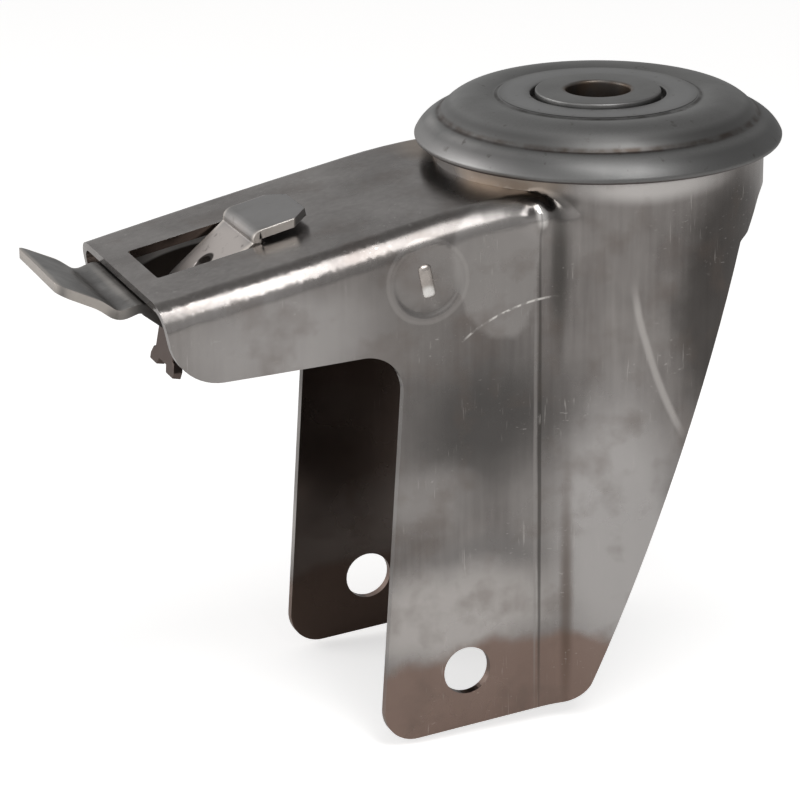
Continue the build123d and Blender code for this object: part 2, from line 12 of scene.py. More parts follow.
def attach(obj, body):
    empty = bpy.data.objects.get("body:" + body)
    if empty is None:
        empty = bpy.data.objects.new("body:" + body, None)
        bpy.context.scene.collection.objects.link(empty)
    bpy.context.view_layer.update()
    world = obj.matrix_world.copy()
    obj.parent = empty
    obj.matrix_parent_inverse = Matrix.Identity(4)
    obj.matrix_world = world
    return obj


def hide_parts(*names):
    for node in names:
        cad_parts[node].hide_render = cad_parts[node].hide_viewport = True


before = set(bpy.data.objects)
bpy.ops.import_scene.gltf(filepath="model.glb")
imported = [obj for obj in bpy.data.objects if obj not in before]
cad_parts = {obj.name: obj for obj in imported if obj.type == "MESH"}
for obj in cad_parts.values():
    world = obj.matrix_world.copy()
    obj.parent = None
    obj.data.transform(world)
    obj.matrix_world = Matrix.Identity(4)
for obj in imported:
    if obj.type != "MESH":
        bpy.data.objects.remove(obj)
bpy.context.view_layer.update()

MM = 0.001
TO_MM = (1000.0, 1000.0, 1000.0)
TO_FLAT_MM = (1000.0, 1000.0, 0.0)
Span = tuple[float, float]
Vec3 = tuple[float, float, float]
Rgb = tuple[float, float, float]
Socket = bpy.types.NodeSocket
log = logging.getLogger("caster_fork")


class Grain(Enum):
    """How a finish is worked: how finely its marks repeat along x, y and z, in turns per metre."""

    POLISHED = (900.0, 900.0, 60.0)
    BLASTED = (2600.0, 2600.0, 2600.0)
    ROLLED = (260.0, 1500.0, 260.0)


@dataclass(frozen=True)
class Patch:
    """Soft-edged area of another tone: an ellipsoid in millimetres, the same on both sides of the part.

    Attributes:
        centre: its middle, with y counted outwards.
        radii: its reach along x, y and z.
        colour: its colour.
        share: how much of that colour its middle takes.
        soft: how wide its edge is, as a share of its reach.
        rough: what it adds to the roughness.
        stirred: whether noise moves its outline far, or hardly.
    """

    centre: Vec3
    radii: Vec3
    colour: Rgb
    share: float
    soft: float = 0.35
    rough: float = 0.0
    stirred: bool = True


@dataclass(frozen=True)
class Line:
    """Thin curved mark on the part's sides: an arc in the XZ plane within an ellipsoid, in millimetres.

    Attributes:
        centre: x and z of the arc's centre.
        radius: the arc's radius.
        width: how far the mark reaches to either side.
        within: middle of the ellipsoid that the mark stays in.
        reach: reach of that ellipsoid along x, y and z.
        colour: the mark's colour.
        share: how much of that colour it takes.
        broken: whether it is dashed.
    """

    centre: Span
    radius: float
    width: float
    within: Vec3
    reach: Vec3
    colour: Rgb
    share: float
    broken: bool = False


@dataclass(frozen=True)
class Ring:
    """Ring-shaped mark about the swivel axis, in millimetres.

    Attributes:
        radius: the ring's radius.
        width: how far it reaches to either side.
        colour: its colour.
        share: how much of that colour it takes.
        broken: whether it comes and goes around the axis.
    """

    radius: float
    width: float
    colour: Rgb
    share: float
    broken: bool = True


@dataclass(frozen=True)
class Speckle:
    """Noise that decides where small marks show.

    Attributes:
        scale: its turns per metre.
        detail: its octaves.
        shown: range of the noise over which the marks come in.
    """

    scale: float
    detail: float
    shown: Span


WORN_FROM_DEGREES = 40.0
FLAT_FACE_WEIGHT = 60
STIR_SCALE = 0.11
PATCH_STIR_MM = 3.0
STILL_STIR_MM = 0.12
LINE_STIR_MM = 0.25
LIMIT_SOFT = 0.25
CLOUD_WEIGHT = 0.7
CLOUD_SHOWN = (0.3, 0.7)
BLEND_SHOWN = (0.35, 0.65)
WHOLE = (0.0, 1.0)
MOTTLE = Speckle(150.0, 8.0, (0.52, 0.7))
MOTTLE_SHARE = 0.5
MOTTLE_COLOUR = (0.17, 0.135, 0.115)
WEAR = Speckle(90.0, 3.0, (0.48, 0.62))
WEAR_SHARE = 0.45
STROKE_SCALES = ((2600.0, 2600.0, 190.0), (900.0, 900.0, 2200.0))
STROKE_SHOWN = (0.665, 0.74)
STROKE_COLOUR = (0.72, 0.69, 0.66)
DASHES = Speckle(700.0, 2.0, (0.42, 0.55))
DASH_SHARE = (0.1, 1.0)
GAPS = Speckle(300.0, 4.0, (0.35, 0.62))
GAP_SHARE = (0.15, 1.0)
INWARD_MM = (-6.0, -3.0)
SPECKS_FROM = 0.66
SPECKS_MORE = 0.14
SPECKS_FULL = 0.82
SPECK_SHARE = (0.0, 0.8)
DIRT = (0.05, 0.035, 0.025)
GRAIN_DEPTH = 0.03 * MM
WAVE_SCALE = 45.0


def map_range(tree: bpy.types.NodeTree, value: Socket, source: Span, target: Span,
              smooth: bool) -> Socket:
    """Map a range of a value onto another range, clamped.

    Args:
        tree: the node tree.
        value: what is mapped.
        source: range read.
        target: range given.
        smooth: ease in and out of the range.

    Returns:
        The mapped value.
    """
    node = tree.nodes.new("ShaderNodeMapRange")
    node.interpolation_type = "SMOOTHSTEP" if smooth else "LINEAR"
    for key, number in zip(("From Min", "From Max", "To Min", "To Max"), (*source, *target)):
        node.inputs[key].default_value = number
    tree.links.new(value, node.inputs["Value"])
    return node.outputs["Result"]


class Board:
    """Node tree of one material, with the few node recipes that all the finishes share."""

    def __init__(self, name: str) -> None:
        """Start a metal.

        Args:
            name: the material's name.
        """
        self.material = bpy.data.materials.new(name)
        self.material.use_nodes = True
        self.tree = self.material.node_tree
        self.shader = self.tree.nodes["Principled BSDF"]
        self.shader.inputs["Metallic"].default_value = 1.0
        self.place = self.tree.nodes.new("ShaderNodeTexCoord").outputs["Object"]
        self.colour: Socket | None = None
        self.rough: Socket | None = None

    def join(self, source: Socket, target: Socket) -> None:
        """Link one socket to another."""
        self.tree.links.new(source, target)

    def scaled(self, place: Socket, scale: Vec3, move: Vec3 = (0.0, 0.0, 0.0)) -> Socket:
        """Coordinates multiplied by scale, then moved.

        Args:
            place: the coordinates.
            scale: factor along each axis.
            move: what is added after that.

        Returns:
            The new coordinates.
        """
        node = self.tree.nodes.new("ShaderNodeMapping")
        node.inputs["Scale"].default_value = scale
        node.inputs["Location"].default_value = move
        self.join(place, node.inputs["Vector"])
        return node.outputs["Vector"]

    def noise(self, place: Socket, scale: float, detail: float, output: str = "Fac") -> Socket:
        """Noise read at a place.

        Args:
            place: the coordinates to read it at.
            scale: turns per unit of those coordinates.
            detail: octaves.
            output: Fac for a value, Color for three values.

        Returns:
            The noise.
        """
        node = self.tree.nodes.new("ShaderNodeTexNoise")
        node.inputs["Scale"].default_value = scale
        node.inputs["Detail"].default_value = detail
        self.join(place, node.inputs["Vector"])
        return node.outputs[output]

    def mapped(self, value: Socket, source: Span, target: Span, smooth: bool = False) -> Socket:
        """Map a range of a value onto another range, as map_range does."""
        return map_range(self.tree, value, source, target, smooth)

    def speckled(self, speckle: Speckle, share: Span) -> Socket:
        """Share of small marks at each point of the part.

        Args:
            speckle: where they show.
            share: the share where they don't show and where they do.

        Returns:
            The share.
        """
        noise = self.noise(self.place, speckle.scale, speckle.detail)
        return self.mapped(noise, speckle.shown, share)

    def combined(self, operation: str, first: Socket, second: Socket | float) -> Socket:
        """Combine two values by one operation.

        Args:
            operation: Blender's name of the operation.
            first: the first value.
            second: the second value, or a number.

        Returns:
            The result.
        """
        node = self.tree.nodes.new("ShaderNodeMath")
        node.operation = operation
        self.join(first, node.inputs[0])
        if isinstance(second, float):
            node.inputs[1].default_value = second
        else:
            self.join(second, node.inputs[1])
        return node.outputs[0]

    def apart(self, value: Socket, number: float) -> Socket:
        """How far a value lies from a number."""
        return self.combined("ABSOLUTE", self.combined("SUBTRACT", value, number), 0.0)

    def mixed(self, share: Socket, first: Socket | Rgb, second: Socket | Rgb) -> Socket:
        """Mix two colours.

        Args:
            share: how much of the second.
            first: the first colour.
            second: the second colour.

        Returns:
            The mixed colour.
        """
        node = self.tree.nodes.new("ShaderNodeMix")
        node.data_type = "RGBA"
        self.join(share, node.inputs[0])
        for socket, colour in ((node.inputs[6], first), (node.inputs[7], second)):
            if isinstance(colour, tuple):
                socket.default_value = (*colour, 1.0)
            else:
                self.join(colour, socket)
        return node.outputs[2]

    def lay(self, share: Socket, colour: Rgb) -> None:
        """Mix a share of another colour into the board's colour."""
        self.colour = self.mixed(share, self.colour, colour)

    def length(self, place: Socket) -> Socket:
        """Length of a vector."""
        node = self.tree.nodes.new("ShaderNodeVectorMath")
        node.operation = "LENGTH"
        self.join(place, node.inputs[0])
        return node.outputs["Value"]

    def folded(self, stir_mm: float) -> Socket:
        """Object coordinates in millimetres with |y| for y, stirred by soft noise.

        Args:
            stir_mm: how far the noise moves a point.

        Returns:
            The coordinates.
        """
        millimetres = self.scaled(self.place, TO_MM)
        stir = self.noise(millimetres, STIR_SCALE, 5.0, "Color")
        blend = self.tree.nodes.new("ShaderNodeVectorMath")
        blend.operation = "MULTIPLY_ADD"
        self.join(stir, blend.inputs[0])
        blend.inputs[1].default_value = (2.0 * stir_mm,) * 3
        self.join(self.scaled(millimetres, (1.0, 1.0, 1.0), (-stir_mm,) * 3), blend.inputs[2])
        parts = self.tree.nodes.new("ShaderNodeSeparateXYZ")
        self.join(blend.outputs[0], parts.inputs[0])
        whole = self.tree.nodes.new("ShaderNodeCombineXYZ")
        self.join(parts.outputs[0], whole.inputs[0])
        self.join(self.combined("ABSOLUTE", parts.outputs[1], 0.0), whole.inputs[1])
        self.join(parts.outputs[2], whole.inputs[2])
        return whole.outputs[0]


@dataclass(frozen=True)
class Finish:
    """One steel finish, from its colour down to its dirt, and the light and shade painted into it.

    Attributes:
        name: the material's name.
        colour: its main colour.
        shade: the darker colour that it wanders to.
        roughness: its mean roughness.
        spread: how far the roughness wanders from that.
        grain: how it is worked.
        cloud: size of its clouds, in millimetres.
        bump: strength of its grain.
        waves: height of the soft waves of pressed sheet, in millimetres.
        dirt_share: how much brown dirt it carries.
        patches: its soft patches.
        lines: its thin lines.
        rings: its rings.
        inside: colour of the painted shade on the faces that look inwards.
        inside_share: how much of that colour they take.
        scuffs: how much it is scuffed.
    """

    name: str
    colour: Rgb
    shade: Rgb
    roughness: float
    spread: float
    grain: Grain
    cloud: float
    bump: float
    waves: float = 0.0
    dirt_share: float = 0.0
    patches: tuple[Patch, ...] = ()
    lines: tuple[Line, ...] = ()
    rings: tuple[Ring, ...] = ()
    inside: Rgb = (0.0, 0.0, 0.0)
    inside_share: float = 0.0
    scuffs: float = 0.0

    def material(self) -> bpy.types.Material:
        """Build the node material.

        Returns:
            A metal whose colour and roughness wander in clouds, with its own marks, painted light and
            shade, dirt and grain.
        """
        board = Board(self.name)
        clouds = board.noise(board.place, 1.0 / (self.cloud * MM), 4.0)
        grain = board.noise(board.scaled(board.place, self.grain.value), 1.0, 3.0)
        blend = board.combined("ADD", board.combined("MULTIPLY", clouds, CLOUD_WEIGHT),
                               board.combined("MULTIPLY", grain, 1.0 - CLOUD_WEIGHT))
        board.colour = board.mixed(board.mapped(blend, BLEND_SHOWN, WHOLE), self.colour, self.shade)
        board.rough = board.mapped(clouds, CLOUD_SHOWN,
                                   (self.roughness - self.spread, self.roughness + self.spread))
        for coat in (self._patch, self._scuff, self._line, self._ring, self._paint_inward_shade, self._dirty):
            coat(board)
        board.join(board.colour, board.shader.inputs["Base Color"])
        board.join(board.rough, board.shader.inputs["Roughness"])
        self._bump(board, grain)
        return board.material

    @staticmethod
    def _within(board: Board, place: Socket, centre: Vec3, radii: Vec3, soft: float,
                share: float) -> Socket:
        """Share of a soft ellipsoid at a place: full inside it, none outside.

        Args:
            board: the material's nodes.
            place: coordinates in millimetres.
            centre: the ellipsoid's centre.
            radii: its radii.
            soft: how much of its radii the edge takes.
            share: the share inside.

        Returns:
            The share.
        """
        scale = tuple(1.0 / radius for radius in radii)
        move = tuple(-middle / radius for middle, radius in zip(centre, radii))
        away = board.length(board.scaled(place, scale, move))
        return board.mapped(away, (1.0 - soft, 1.0 + soft), (share, 0.0), True)

    def _patch(self, board: Board) -> None:
        """Lay the soft patches over the colour and the roughness.

        Args:
            board: the material's nodes.
        """
        if not self.patches:
            return
        stirred, still = board.folded(PATCH_STIR_MM), board.folded(STILL_STIR_MM)
        for patch in self.patches:
            place = stirred if patch.stirred else still
            share = self._within(board, place, patch.centre, patch.radii, patch.soft, patch.share)
            board.lay(share, patch.colour)
            if patch.rough:
                board.rough = board.combined("ADD", board.rough,
                                             board.combined("MULTIPLY", share, patch.rough))

    def _scuff(self, board: Board) -> None:
        """Lay brownish mottles and short pale strokes of handling over the colour.

        Args:
            board: the material's nodes.
        """
        if self.scuffs <= 0.0:
            return
        board.lay(board.speckled(MOTTLE, (0.0, MOTTLE_SHARE * self.scuffs)), MOTTLE_COLOUR)
        worn = board.speckled(WEAR, (0.0, WEAR_SHARE * self.scuffs))
        for scale in STROKE_SCALES:
            strokes = board.noise(board.scaled(board.place, scale), 1.0, 2.0)
            share = board.combined("MULTIPLY", board.mapped(strokes, STROKE_SHOWN, WHOLE), worn)
            board.lay(share, STROKE_COLOUR)

    def _line(self, board: Board) -> None:
        """Draw the thin curved marks over the colour.

        Args:
            board: the material's nodes.
        """
        if not self.lines:
            return
        place = board.folded(LINE_STIR_MM)
        dashes = board.speckled(DASHES, DASH_SHARE)
        for line in self.lines:
            flat = board.scaled(place, (1.0, 0.0, 1.0), (-line.centre[0], 0.0, -line.centre[1]))
            away = board.apart(board.length(flat), line.radius)
            share = board.mapped(away, (0.2 * line.width, line.width), (1.0, 0.0), True)
            limit = self._within(board, place, line.within, line.reach, LIMIT_SOFT, line.share)
            share = board.combined("MULTIPLY", share, limit)
            if line.broken:
                share = board.combined("MULTIPLY", share, dashes)
            board.lay(share, line.colour)

    def _ring(self, board: Board) -> None:
        """Lay the rings about the swivel axis over the colour.

        Args:
            board: the material's nodes.
        """
        if not self.rings:
            return
        radius = board.length(board.scaled(board.place, TO_FLAT_MM))
        gaps = board.speckled(GAPS, GAP_SHARE)
        for ring in self.rings:
            away = board.apart(radius, ring.radius)
            share = board.mapped(away, (0.3 * ring.width, ring.width), (ring.share, 0.0), True)
            if ring.broken:
                share = board.combined("MULTIPLY", share, gaps)
            board.lay(share, ring.colour)

    def _paint_inward_shade(self, board: Board) -> None:
        """Paint shade on the faces that look towards the swivel axis by darkening them.

        The normal times the way from the axis is below zero there, and the more so the further out.

        Args:
            board: the material's nodes.
        """
        if self.inside_share <= 0.0:
            return
        dot = board.tree.nodes.new("ShaderNodeVectorMath")
        dot.operation = "DOT_PRODUCT"
        board.join(board.scaled(board.place, TO_FLAT_MM), dot.inputs[0])
        board.join(board.place.node.outputs["Normal"], dot.inputs[1])
        # Painted shade on the faces that look inwards.
        board.lay(board.mapped(dot.outputs["Value"], INWARD_MM, (self.inside_share, 0.0)), self.inside)

    def _dirty(self, board: Board) -> None:
        """Mix faint brown dirt into the colour where a rough noise peaks.

        Args:
            board: the material's nodes.
        """
        if self.dirt_share <= 0.0:
            return
        specks = Speckle(520.0, 7.0, (SPECKS_FROM - SPECKS_MORE * self.dirt_share, SPECKS_FULL))
        board.lay(board.speckled(specks, SPECK_SHARE), DIRT)

    def _bump(self, board: Board, grain: Socket) -> None:
        """Give the shader its fine grain and, on pressed sheet, soft waves under it.

        Args:
            board: the material's nodes.
            grain: height of the fine grain.
        """
        fine = board.tree.nodes.new("ShaderNodeBump")
        fine.inputs["Strength"].default_value = self.bump
        fine.inputs["Distance"].default_value = GRAIN_DEPTH
        board.join(grain, fine.inputs["Height"])
        if self.waves > 0.0:
            wavy = board.tree.nodes.new("ShaderNodeBump")
            wavy.inputs["Strength"].default_value = 1.0
            wavy.inputs["Distance"].default_value = self.waves * MM
            board.join(board.noise(board.place, WAVE_SCALE, 1.0), wavy.inputs["Height"])
            board.join(wavy.outputs["Normal"], fine.inputs["Normal"])
        board.join(fine.outputs["Normal"], board.shader.inputs["Normal"])


# The next five tones are painted light on the fork: painted reflections, highlights and shade.
PAINTED_DARK = (0.05, 0.045, 0.042)
PAINTED_PALE = (0.58, 0.55, 0.53)
PAINTED_MID = (0.39, 0.37, 0.357)
PAINTED_DULL = (0.095, 0.09, 0.087)
PAINTED_BROWN = (0.29, 0.205, 0.17)
TAN = (0.40, 0.33, 0.27)
# Nearly black: painted shadow on the lever under the arm, and a round spot on the leaf.
NEAR_BLACK = (0.022, 0.017, 0.014)
# Pale tone of painted light on the pedal's cut edges and ridge.
PAINTED_EDGE_LIGHT = (0.66, 0.61, 0.56)
SCRATCH = (0.9, 0.87, 0.83)
# Fork's patches, columns: centre, radii, colour, share, soft, rough, stirred. Most are painted light
# (painted reflections, highlights and shade); the tan tint under the cap and the brown stain low in the
# valley are its own colour.
FORK_STAINS_AND_PAINTED_LIGHT = (
    # Painted reflections on the flat side: darker and lighter zones, and the pale zone low down.
    Patch((-31.0, 23.0, -47.5), (15.0, 8.0, 11.5), PAINTED_DULL, 0.9, 0.75, 0.05),
    Patch((-42.5, 23.0, -24.0), (10.5, 6.0, 12.0), (0.23, 0.215, 0.205), 0.6, 0.3),
    Patch((-28.5, 23.0, -20.5), (7.5, 6.0, 12.5), PAINTED_MID, 0.75, 0.08, 0.03),
    # Painted reflection: lighter disc on the dimple around the slot.
    Patch((-41.0, 23.0, -22.2), (6.6, 6.0, 6.6), PAINTED_MID, 0.45, 0.05, 0.0, False),
    Patch((-66.0, 23.0, -29.0), (15.0, 6.0, 8.0), (0.5, 0.48, 0.47), 0.65, 0.5),
    Patch((-42.0, 23.0, -59.5), (8.0, 6.0, 4.5), PAINTED_MID, 0.6, 0.6),
    Patch((-22.0, 23.0, -66.0), (4.5, 6.0, 8.0), PAINTED_MID, 0.5, 0.6),
    Patch((-31.0, 23.0, -71.5), (10.0, 6.0, 4.0), (0.25, 0.24, 0.235), 0.6, 0.5),
    Patch((-37.0, 23.0, -81.0), (18.0, 8.0, 7.5), PAINTED_PALE, 0.95, 0.5),
    # Painted reflection: lighter middle of the drum's side.
    Patch((-8.0, 26.0, -70.0), (10.0, 9.0, 24.0), (0.56, 0.54, 0.53), 0.85, 0.45),
    # Painted reflection: brown towards the foot of the legs.
    Patch((-28.0, 23.0, -117.0), (46.0, 40.0, 30.0), PAINTED_BROWN, 0.9, 0.05, 0.05),
    # Painted reflection: dark on the drum's right.
    Patch((14.0, 24.0, -32.0), (13.5, 14.0, 22.0), PAINTED_DARK, 0.75, 0.25),
    # Painted light at the pinch bump: a painted dark spot that dims a highlight, the bump's painted
    # highlight, and a painted dark spot over a second highlight.
    Patch((-22.9, 22.8, -12.4), (1.3, 3.0, 1.5), (0.09, 0.083, 0.08), 0.85, 0.6, 0.0, False),
    Patch((-21.0, 23.2, -13.5), (0.85, 3.0, 1.7), (0.95, 0.92, 0.89), 0.9, 0.6, 0.0, False),
    Patch((-17.0, 23.5, -11.8), (2.2, 4.0, 1.2), (0.15, 0.14, 0.132), 0.8, 0.5, 0.0, False),
    # Painted reflection: darker on the drum's right, lower down.
    Patch((8.0, 26.0, -70.0), (7.0, 9.0, 16.0), (0.17, 0.16, 0.155), 0.9, 0.6),
    Patch((-23.0, 14.0, -9.2), (9.5, 11.0, 3.0), TAN, 0.8, 0.3, 0.12, False),
    # Painted highlight on the drum's top bend just under the cap.
    Patch((-3.0, 27.5, -9.6), (12.0, 6.0, 2.2), (0.75, 0.72, 0.70), 0.85, 0.6, 0.0, False),
    # Painted shade in the valley below the pinch bump.
    Patch((-17.9, 25.0, -22.5), (1.5, 6.0, 12.0), (0.07, 0.065, 0.06), 0.8, 0.7, 0.0, False),
    Patch((-16.4, 24.0, -80.0), (0.9, 4.0, 17.0), (0.10, 0.065, 0.045), 0.6, 0.8, 0.1, False),
    # Painted shade and painted highlight along the bend where the valley leaves the flat side.
    Patch((-21.2, 23.6, -56.0), (0.32, 4.0, 41.0), (0.07, 0.065, 0.06), 0.7, 0.4, 0.0, False),
    Patch((-22.0, 23.6, -56.0), (0.3, 4.0, 40.0), PAINTED_MID, 0.5, 0.4, 0.0, False),
)
FORK_LINES = (
    Line((-18.71, -54.04), 26.57, 0.28, (-27.3, 23.0, -29.6), (8.4, 6.0, 5.0), SCRATCH, 0.9, True),
    # Painted reflection: pale curved edge on the drum's side.
    Line((74.0, -14.0), 81.2, 0.9, (-2.5, 27.0, -41.0), (7.0, 8.0, 15.0), PAINTED_PALE, 0.75),
    # Painted highlight: pale ring around the dimple.
    Line((-41.0, -22.2), 6.9, 0.5, (-41.0, 23.0, -22.2), (9.0, 6.0, 9.0), PAINTED_PALE, 0.22),
)
CAP_PATCHES = (
    # Painted light on the cap's left side and painted shade on its right side.
    Patch((-31.0, 0.0, -6.6), (9.0, 26.0, 2.6), (0.52, 0.50, 0.49), 0.75, 0.6),
    Patch((30.5, 0.0, -6.0), (9.0, 28.0, 4.0), (0.13, 0.13, 0.13), 0.75, 0.6),
    Patch((0.0, 0.0, -8.3), (90.0, 90.0, 0.5), (0.10, 0.045, 0.035), 0.85, 0.3, 0.1, False),
)
CAP_RINGS = (
    # Painted shade on the rim's outside.
    Ring(30.2, 1.8, (0.15, 0.15, 0.148), 0.6, False),
    # Painted shade in the cap's valley.
    Ring(26.4, 2.0, (0.13, 0.128, 0.125), 0.7, False),
    Ring(5.25, 0.6, (0.05, 0.036, 0.028), 0.75, False),
    # Painted light on the land around the recess.
    Ring(14.2, 3.2, (0.40, 0.40, 0.40), 0.6, False),
    Ring(27.0, 0.7, (0.07, 0.052, 0.042), 0.85),
    Ring(17.3, 0.4, (0.05, 0.045, 0.04), 0.8),
    Ring(5.3, 1.1, (0.14, 0.10, 0.07), 0.8),
    # Painted shadow in the gap between the rivet's flange and the cap.
    Ring(11.1, 0.6, (0.03, 0.024, 0.02), 0.8),
)
LEVER_PATCHES = (
    # Painted shadow on the lever where it runs under the arm.
    Patch((-60.0, 0.0, -27.5), (25.3, 20.0, 7.5), NEAR_BLACK, 0.98, 0.02, 0.15, False),
    # Painted light on the tread's front edge, its near side edge and its ridge.
    Patch((-99.6, 0.0, -15.5), (1.7, 20.0, 6.0), PAINTED_EDGE_LIGHT, 0.85, 0.3, 0.0, False),
    Patch((-93.5, 12.9, -19.5), (7.0, 1.7, 7.0), PAINTED_EDGE_LIGHT, 0.7, 0.3, 0.0, False),
    Patch((-87.0, 0.0, -22.3), (0.8, 14.0, 1.2), PAINTED_EDGE_LIGHT, 0.5, 0.5, 0.0, False),
    # Painted shade in the tread's valley.
    Patch((-89.7, 0.0, -24.0), (1.6, 14.0, 1.6), (0.10, 0.095, 0.09), 0.7, 0.5),
)
LEAF_PATCHES = (
    # Painted light: the tab's top lighter, the fold's front band lit, and the lit side faces of the
    # fold and the tab.
    Patch((-59.0, 0.0, -12.8), (9.0, 9.0, 3.5), (0.38, 0.372, 0.37), 0.8, 0.3),
    Patch((-70.0, 0.0, -20.5), (7.5, 11.0, 6.0), (0.60, 0.55, 0.52), 0.9, 0.3, 0.05, False),
    Patch((-70.0, 7.6, -20.5), (8.5, 1.5, 7.0), (0.8, 0.74, 0.68), 0.8, 0.3, 0.0, False),
    Patch((-59.0, 7.9, -14.2), (9.0, 0.7, 3.4), (0.85, 0.8, 0.74), 0.85, 0.4, 0.0, False),
    Patch((-79.0, 0.0, -37.0), (4.0, 10.0, 9.0), (0.12, 0.088, 0.076), 0.9, 0.3, 0.1),
    # A nearly black round spot on the leaf.
    Patch((-70.7, 0.0, -21.8), (1.95, 1.95, 1.95), NEAR_BLACK, 0.95, 0.1, 0.1, False),
)
# Painted highlight at the lower end of the bar's peened head.
BAR_PAINTED_HIGHLIGHT = (Patch((-40.8, 23.0, -24.0), (1.2, 3.0, 1.0), (1.0, 0.98, 0.95), 1.0, 0.5, 0.0, False),)
FORK_STEEL = Finish(
    "polished_sheet_steel", colour=(0.345, 0.324, 0.31), shade=(0.225, 0.208, 0.199), roughness=0.25,
    spread=0.05, grain=Grain.POLISHED, cloud=14.0, bump=0.12, waves=0.22, patches=FORK_STAINS_AND_PAINTED_LIGHT,
    # inside and inside_share: painted shade on the faces that look inwards.
    lines=FORK_LINES, inside=(0.07, 0.048, 0.038), inside_share=0.85, scuffs=0.7)
CAP_STEEL = Finish(
    "blasted_cap_steel", colour=(0.29, 0.288, 0.283), shade=(0.24, 0.238, 0.233), roughness=0.44,
    spread=0.04, grain=Grain.BLASTED, cloud=10.0, bump=0.35, dirt_share=0.02, patches=CAP_PATCHES,
    rings=CAP_RINGS)
LEVER_STEEL = Finish(
    "rolled_lever_steel", colour=(0.28, 0.27, 0.26), shade=(0.18, 0.175, 0.17), roughness=0.36,
    spread=0.05, grain=Grain.ROLLED, cloud=5.0, bump=0.2, dirt_share=0.25, patches=LEVER_PATCHES)
LEAF_STEEL = Finish(
    "dull_leaf_steel", colour=(0.31, 0.30, 0.295), shade=(0.27, 0.26, 0.25), roughness=0.42,
    spread=0.05, grain=Grain.ROLLED, cloud=5.0, bump=0.2, dirt_share=0.1, patches=LEAF_PATCHES)
BAR_STEEL = Finish(
    "peened_bar_steel", colour=(0.60, 0.55, 0.51), shade=(0.44, 0.40, 0.37), roughness=0.3,
    spread=0.05, grain=Grain.BLASTED, cloud=1.5, bump=0.3, patches=BAR_PAINTED_HIGHLIGHT)
INNER_STEEL = Finish(
    "inner_head_steel", colour=(0.2, 0.18, 0.165), shade=(0.13, 0.11, 0.10), roughness=0.5,
    spread=0.08, grain=Grain.BLASTED, cloud=6.0, bump=0.3, dirt_share=0.6)
BALL_STEEL = Finish(
    "ball_steel", colour=(0.55, 0.55, 0.56), shade=(0.45, 0.45, 0.45), roughness=0.15,
    spread=0.03, grain=Grain.POLISHED, cloud=4.0, bump=0.02)


def arc(start: Span, middle: Span, end: Span, steps: int) -> np.ndarray:
    """Arc through three points.

    The centre is where the middle perpendiculars of the two chords meet; the points lie at equal
    angles about it from start to end, on the side of middle.

    Args:
        start: first point.
        middle: a point on the arc.
        end: last point.
        steps: number of runs.

    Returns:
        Array of steps + 1 points.
    """
    a, b, c = (np.asarray(point, float) for point in (start, middle, end))
    centre = np.linalg.solve(2.0 * np.array([b - a, c - a]), np.array([b @ b - a @ a, c @ c - a @ a]))
    angles = [math.atan2(*(point - centre)[::-1]) for point in (a, b, c)]
    turn = (angles[2] - angles[0]) % (2 * math.pi)
    if (angles[1] - angles[0]) % (2 * math.pi) > turn:
        turn -= 2 * math.pi
    sweep = angles[0] + np.linspace(0.0, turn, steps + 1)
    return centre + np.linalg.norm(a - centre) * np.column_stack((np.cos(sweep), np.sin(sweep)))


def rounded(corners: np.ndarray, radii: np.ndarray, steps: int = 5) -> np.ndarray:
    """Closed outline with each corner rounded.

    Each corner gives way to a parabola between the two points that lie its radius away from it:
    (1-t)^2 before + 2t(1-t) corner + t^2 after.

    Args:
        corners: array of (n, 2) corners.
        radii: how far from each corner its rounding starts; 0 keeps it sharp.
        steps: runs on each rounding.

    Returns:
        Array of points.
    """
    before = np.roll(corners, 1, axis=0) - corners
    after = np.roll(corners, -1, axis=0) - corners
    start = corners + before * (radii / np.linalg.norm(before, axis=1))[:, None]
    end = corners + after * (radii / np.linalg.norm(after, axis=1))[:, None]
    t = np.linspace(0.0, 1.0, steps + 1)[None, :, None]
    curve = (1 - t) ** 2 * start[:, None] + 2 * t * (1 - t) * corners[:, None] + t ** 2 * end[:, None]
    keep = np.ones(curve.shape[:2], bool)
    keep[radii <= 0.0, 1:] = False
    return curve[keep]


def grid_faces(rows: int, columns: int, close_rows: bool, close_columns: bool) -> np.ndarray:
    """Four-cornered faces of a grid of points.

    Face (i, j) joins the points (i, j), (i+1, j), (i+1, j+1) and (i, j+1), counted row by row.

    Args:
        rows: points along the first parameter.
        columns: points along the second parameter.
        close_rows: join the last row to the first.
        close_columns: join the last column to the first.

    Returns:
        Array of (m, 4) point numbers.
    """
    i, j = np.meshgrid(np.arange(rows if close_rows else rows - 1),
                       np.arange(columns if close_columns else columns - 1), indexing="ij")
    i2, j2 = (i + 1) % rows, (j + 1) % columns
    quads = np.stack((i * columns + j, i2 * columns + j, i2 * columns + j2, i * columns + j2), -1)
    return quads.reshape(-1, 4)


def new_piece(name: str, points_mm: np.ndarray, faces: list[list[int]],
              crease_degrees: float) -> bpy.types.Object:
    """Make a piece from points and faces.

    Args:
        name: the piece's name.
        points_mm: array of (n, 3) points in millimetres.
        faces: the point numbers of each face.
        crease_degrees: edges that turn by more than this stay sharp.

    Returns:
        The new piece.
    """
    mesh = bpy.data.meshes.new(name)
    mesh.from_pydata(points_mm * MM, [], faces)
    return shaded(name, mesh, crease_degrees)


